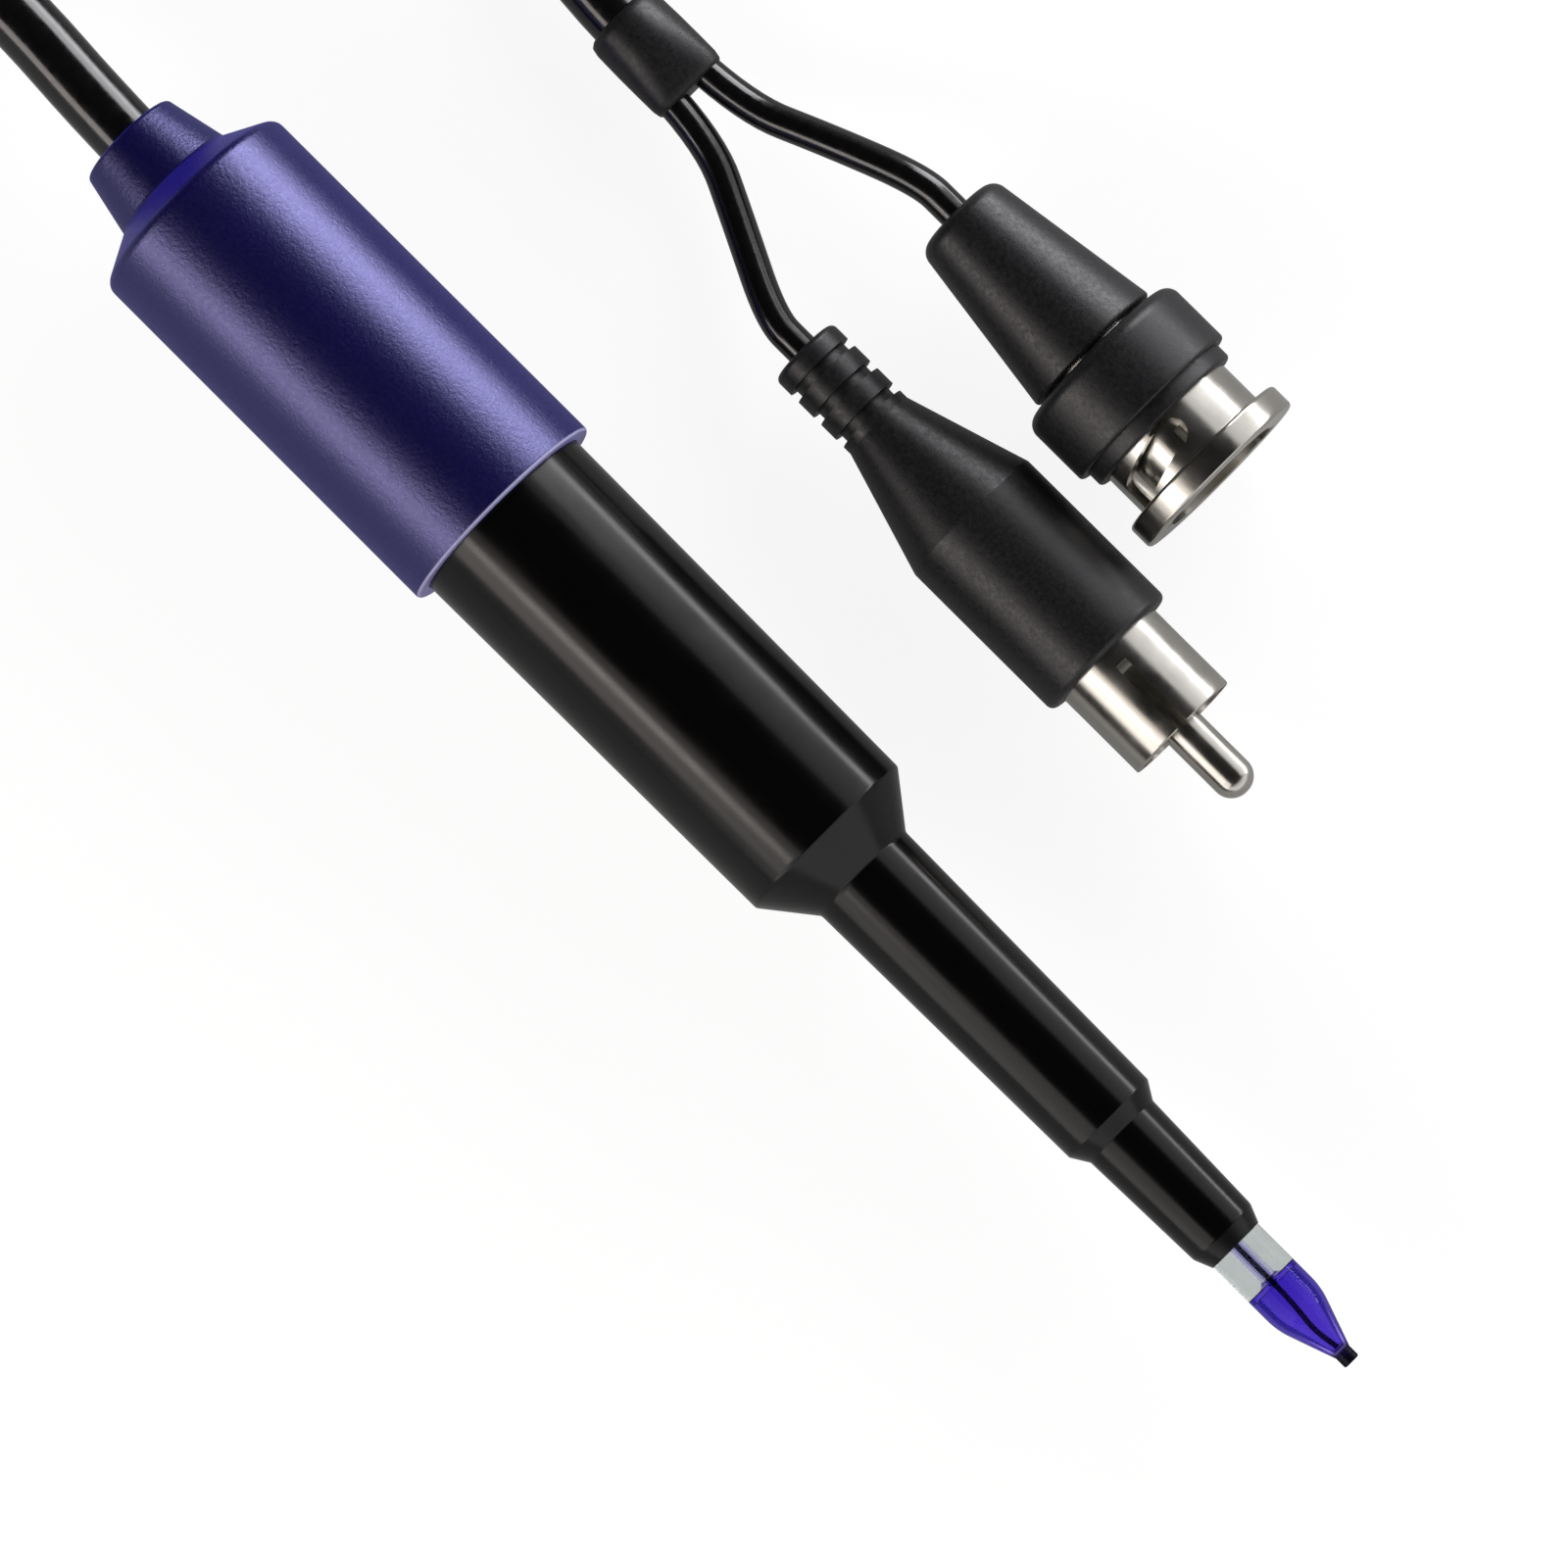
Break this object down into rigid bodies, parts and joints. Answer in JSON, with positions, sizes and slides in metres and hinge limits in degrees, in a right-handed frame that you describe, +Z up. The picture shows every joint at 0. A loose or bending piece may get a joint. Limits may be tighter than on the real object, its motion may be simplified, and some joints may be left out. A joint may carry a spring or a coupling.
{
  "type": "ph electrode",
  "caption": "Spear-tip combination pH electrode: blue cap, stepped black shaft, grey junction, blue glass membrane, cable with bayonet and phono plugs.",
  "frame": {"origin": "on the floor under the middle of the electrode's length", "axes": "+X along the electrode towards the tip, +Z up, the electrode lying on its cap"},
  "size_m": [0.2047, 0.0762, 0.0172],
  "materials": {
    "cap_plastic": "satin moulded",
    "shaft_plastic": "semi-gloss moulded",
    "seal_rubber": "matt",
    "membrane_glass": "clear blue",
    "silver_wire": "tarnished",
    "buffer_gel": "clear gel",
    "sensor_coat": "coated",
    "polymer_electrolyte": "translucent",
    "ferrule_brass": "turned",
    "lead_insulation": "smooth",
    "cable_jacket": "smooth",
    "tie_plastic": "moulded",
    "plug_plastic": "moulded",
    "nickel_plate": "bright plated",
    "spring_steel": "bright",
    "white_insulator": "smooth",
    "gold_plate": "bright plated"
  },
  "bodies": {
    "electrode": {"cap": "cap_plastic", "shaft": "shaft_plastic", "shaft_seal": "seal_rubber", "glass_membrane": "membrane_glass", "inner_wire": "silver_wire", "inner_buffer": "buffer_gel", "temperature_sensor": "sensor_coat", "reference_element": "silver_wire", "reference_electrolyte": "polymer_electrolyte", "shaft_bung": "seal_rubber", "cable_ferrule": "ferrule_brass", "lead_wires": "lead_insulation", "cable_lead": "cable_jacket", "cable_coil": "cable_jacket", "cable_tie": "tie_plastic", "cable_tail": "cable_jacket", "split_sleeve": "cable_jacket", "bayonet_branch": "cable_jacket", "phono_branch": "cable_jacket", "bayonet_boot": "plug_plastic", "bayonet_body": "nickel_plate", "spring_washer": "spring_steel", "bayonet_gasket": "seal_rubber", "bayonet_insulator": "white_insulator", "bayonet_pin": "gold_plate", "phono_moulding": "plug_plastic", "phono_shell": "nickel_plate", "phono_insulator": "white_insulator", "phono_pin": "nickel_plate"},
    "ring_slider": {"bayonet_clip": "spring_steel"},
    "coupling_ring": {"bayonet_ring": "nickel_plate", "bayonet_grip": "plug_plastic"}
  },
  "joints": [
    {"name": "coupling_ring_draw", "type": "slide", "parent": "electrode", "child": "ring_slider", "axis": [1, 0, 0], "range_m": [0, 0.0006], "stiffness_N_per_m": 1500, "deforming": ["spring_washer"]},
    {"name": "coupling_ring_turn", "type": "hinge", "parent": "ring_slider", "child": "coupling_ring", "pos_m": [0.0046, 0.0384, 0.00725], "axis": [1, 0, 0], "continuous": true}
  ]
}
